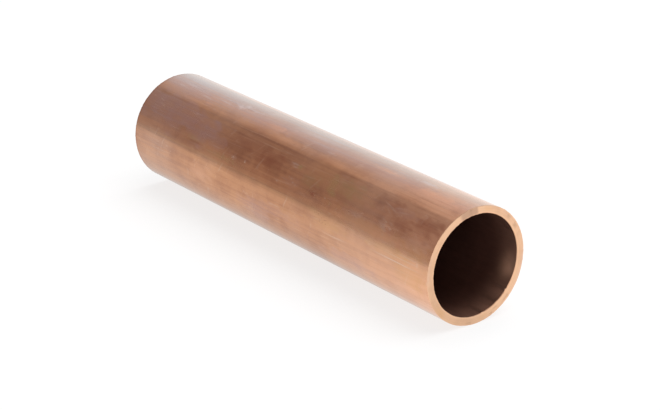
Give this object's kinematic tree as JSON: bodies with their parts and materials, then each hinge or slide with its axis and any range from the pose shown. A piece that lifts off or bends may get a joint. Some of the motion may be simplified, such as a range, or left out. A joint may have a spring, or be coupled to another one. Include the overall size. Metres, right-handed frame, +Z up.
{
  "type": "copper pipe",
  "caption": "Short straight length of drawn copper pipe, open right through, with both ends cut square and lightly deburred.",
  "frame": {"origin": "on the floor under the middle of the pipe, which lies on its side", "axes": "+X along the pipe towards the end that the picture shows open, +Z up"},
  "size_m": [0.0926, 0.022, 0.022],
  "materials": {
    "copper": "bare drawn copper, satin and lightly tarnished, with a brighter cut at the ends and a dark oxidised bore"
  },
  "bodies": {
    "root": {"pipe": "copper"}
  },
  "joints": []
}
